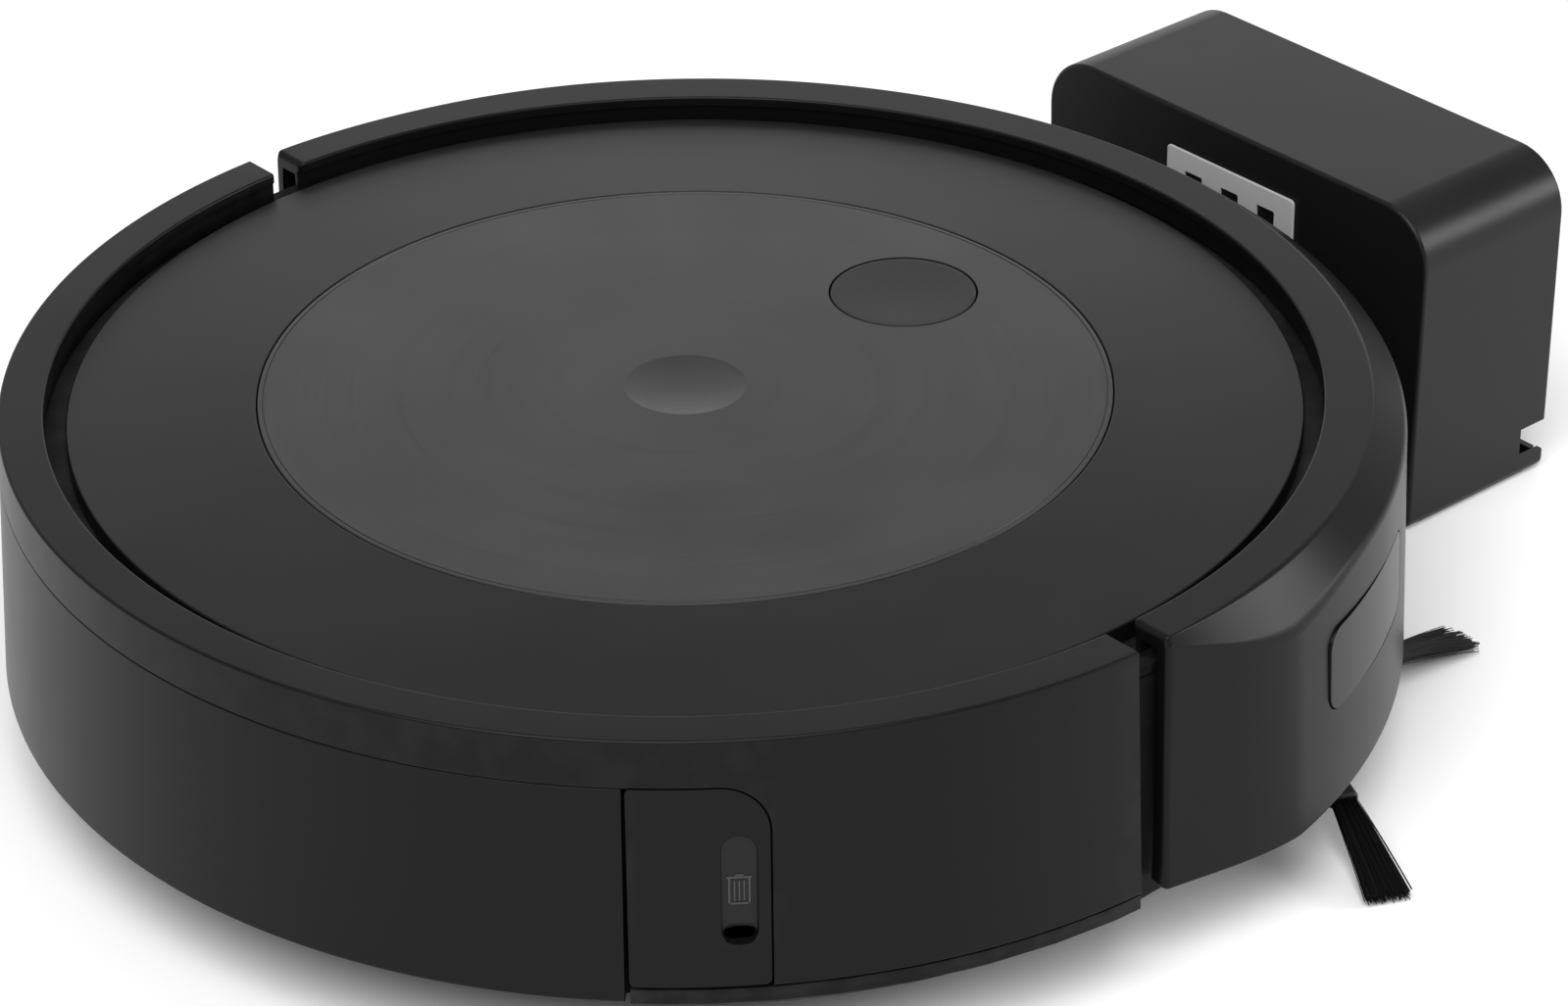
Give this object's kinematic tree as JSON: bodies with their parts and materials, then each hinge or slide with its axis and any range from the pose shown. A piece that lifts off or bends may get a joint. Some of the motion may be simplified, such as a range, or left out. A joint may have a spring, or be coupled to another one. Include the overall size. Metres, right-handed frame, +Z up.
{
  "type": "robot vacuum",
  "caption": "Round robot vacuum with a rimmed brushed lid, front bumper, dust bin, rollers and side brush, on its charging dock.",
  "frame": {"origin": "on the floor under the middle of the whole object, robot and dock together", "axes": "+Y from the robot's rear to its nose and the dock, +X to the robot's right, +Z up"},
  "size_m": [0.3516, 0.4025, 0.0898],
  "materials": {
    "battery_case": "matt case",
    "board_green": "circuit board",
    "body_black": "fine matt moulded black plastic",
    "bristle_nylon": "black nylon bristles",
    "brush_rubber": "black rubber holder",
    "button_black": "satin black",
    "caster_rubber": "hard plastic wheel",
    "contact_metal": "plated contact",
    "disc_brushed": "concentric brushed dark grey",
    "filter_media": "pleated filter",
    "impeller_grey": "moulded grey",
    "inner_black": "plain black moulding",
    "lid_satin": "satin dark grey plastic",
    "marker_grey": "pale grey matt print plate",
    "roller_rubber": "soft ribbed rubber",
    "steel": "bright steel",
    "tyre_rubber": "treaded rubber",
    "window_gloss": "gloss black infrared window"
  },
  "bodies": {
    "chassis": {"rear_cover": "body_black", "base_frame": "inner_black", "base_screw_1": "steel", "base_screw_2": "steel", "base_screw_3": "steel", "base_screw_4": "steel", "top_deck": "inner_black", "lid_ring": "lid_satin", "lid_disc": "disc_brushed", "button_board": "board_green", "camera_module": "inner_black", "bumper_spring_left": "steel", "bumper_spring_right": "steel", "head_housing": "inner_black", "roller_motor": "inner_black", "fan_housing": "inner_black", "side_brush_motor": "inner_black", "battery": "battery_case", "battery_door": "inner_black", "main_board": "board_green", "charge_contact_left": "contact_metal", "charge_contact_right": "contact_metal", "cliff_sensor_1": "window_gloss", "cliff_sensor_2": "window_gloss", "cliff_sensor_3": "window_gloss", "cliff_sensor_4": "window_gloss"},
    "bumper": {"bumper": "body_black", "side_window_right": "window_gloss", "side_window_left": "window_gloss", "front_window": "window_gloss"},
    "button": {"clean_button": "button_black"},
    "bin": {"dust_bin": "body_black", "bin_filter": "filter_media", "latch_pin": "steel"},
    "latch": {"bin_latch": "body_black"},
    "fan": {"fan_impeller": "impeller_grey"},
    "front_roller": {"front_roller": "roller_rubber"},
    "rear_roller": {"rear_roller": "roller_rubber"},
    "guard": {"roller_guard": "inner_black"},
    "arm_left": {"wheel_arm_left": "inner_black"},
    "arm_right": {"wheel_arm_right": "inner_black"},
    "wheel_left": {"wheel_hub_left": "inner_black", "tyre_left": "tyre_rubber"},
    "wheel_right": {"wheel_hub_right": "inner_black", "tyre_right": "tyre_rubber"},
    "caster": {"caster_fork": "inner_black", "caster_axle": "steel"},
    "caster_roll": {"caster_wheel": "caster_rubber"},
    "side_brush": {"side_brush_hub": "brush_rubber", "bristle_tuft_1": "bristle_nylon", "bristle_tuft_2": "bristle_nylon", "bristle_tuft_3": "bristle_nylon", "side_brush_screw": "steel"},
    "dock": {"dock_housing": "body_black", "dock_back_cover": "body_black", "dock_base": "inner_black", "dock_marker": "marker_grey", "dock_inlet": "window_gloss"},
    "contact_left": {"dock_contact_left": "contact_metal"},
    "contact_right": {"dock_contact_right": "contact_metal"}
  },
  "joints": [
    {"name": "bumper_press", "type": "slide", "parent": "chassis", "child": "bumper", "axis": [0, -1, 0], "range_m": [0, 0.003], "stiffness_N_per_m": 400, "springref_m": -0.002},
    {"name": "button_press", "type": "slide", "parent": "chassis", "child": "button", "axis": [0, 0, -1], "range_m": [0, 0.0008], "stiffness_N_per_m": 800, "springref_m": -0.0005},
    {"name": "bin_slide", "type": "slide", "parent": "chassis", "child": "bin", "axis": [0, -1, 0], "range_m": [0, 0.12]},
    {"name": "latch_press", "type": "hinge", "parent": "bin", "child": "latch", "pos_m": [0.10819, -0.14301, 0.0485], "axis": [0, 0, 1], "range_deg": [0, 2.5], "stiffness_Nm_per_rad": 0.5, "springref_deg": -1.72},
    {"name": "fan_spin", "type": "hinge", "parent": "chassis", "child": "fan", "pos_m": [-0.0551, -0.0805, 0.058], "axis": [0, 0, 1], "continuous": true},
    {"name": "front_roller_spin", "type": "hinge", "parent": "chassis", "child": "front_roller", "pos_m": [-0.0071, -0.0655, 0.0146], "axis": [1, 0, 0], "continuous": true},
    {"name": "rear_roller_spin", "type": "hinge", "parent": "chassis", "child": "rear_roller", "pos_m": [-0.0071, -0.0925, 0.0146], "axis": [1, 0, 0], "continuous": true},
    {"name": "guard_hinge", "type": "hinge", "parent": "chassis", "child": "guard", "pos_m": [-0.0071, -0.0481, 0.0096], "axis": [1, 0, 0], "range_deg": [0, 70]},
    {"name": "suspension_left", "type": "hinge", "parent": "chassis", "child": "arm_left", "pos_m": [-0.1161, 0.0145, 0.04], "axis": [1, 0, 0], "range_deg": [0, 22], "stiffness_Nm_per_rad": 0.3, "springref_deg": 24.64},
    {"name": "wheel_spin_left", "type": "hinge", "parent": "arm_left", "child": "wheel_left", "pos_m": [-0.1321, -0.0375, 0.036], "axis": [1, 0, 0], "continuous": true},
    {"name": "suspension_right", "type": "hinge", "parent": "chassis", "child": "arm_right", "pos_m": [0.1019, 0.0145, 0.04], "axis": [1, 0, 0], "range_deg": [0, 22], "stiffness_Nm_per_rad": 0.3, "springref_deg": 24.64},
    {"name": "wheel_spin_right", "type": "hinge", "parent": "arm_right", "child": "wheel_right", "pos_m": [0.1179, -0.0375, 0.036], "axis": [1, 0, 0], "continuous": true},
    {"name": "caster_swivel", "type": "hinge", "parent": "chassis", "child": "caster", "pos_m": [-0.0071, 0.0825, 0.025], "axis": [0, 0, 1], "continuous": true},
    {"name": "caster_spin", "type": "hinge", "parent": "caster", "child": "caster_roll", "pos_m": [-0.0071, 0.0765, 0.01], "axis": [1, 0, 0], "continuous": true},
    {"name": "side_brush_spin", "type": "hinge", "parent": "chassis", "child": "side_brush", "pos_m": [0.1121, 0.0508, 0.01], "axis": [0, 0, 1], "continuous": true, "deforming": ["bristle_tuft_1", "bristle_tuft_2", "bristle_tuft_3"]},
    {"name": "undock", "type": "slide", "parent": "chassis", "child": "dock", "axis": [0, 1, 0], "range_m": [0, 0.25]},
    {"name": "contact_press_left", "type": "slide", "parent": "dock", "child": "contact_left", "axis": [0, 0, -1], "range_m": [0, 0.002], "stiffness_N_per_m": 500, "springref_m": -0.001},
    {"name": "contact_press_right", "type": "slide", "parent": "dock", "child": "contact_right", "axis": [0, 0, -1], "range_m": [0, 0.002], "stiffness_N_per_m": 500, "springref_m": -0.001}
  ],
  "couplings": [
    {"joint": "rear_roller_spin", "follows": "front_roller_spin", "ratio": -1}
  ]
}
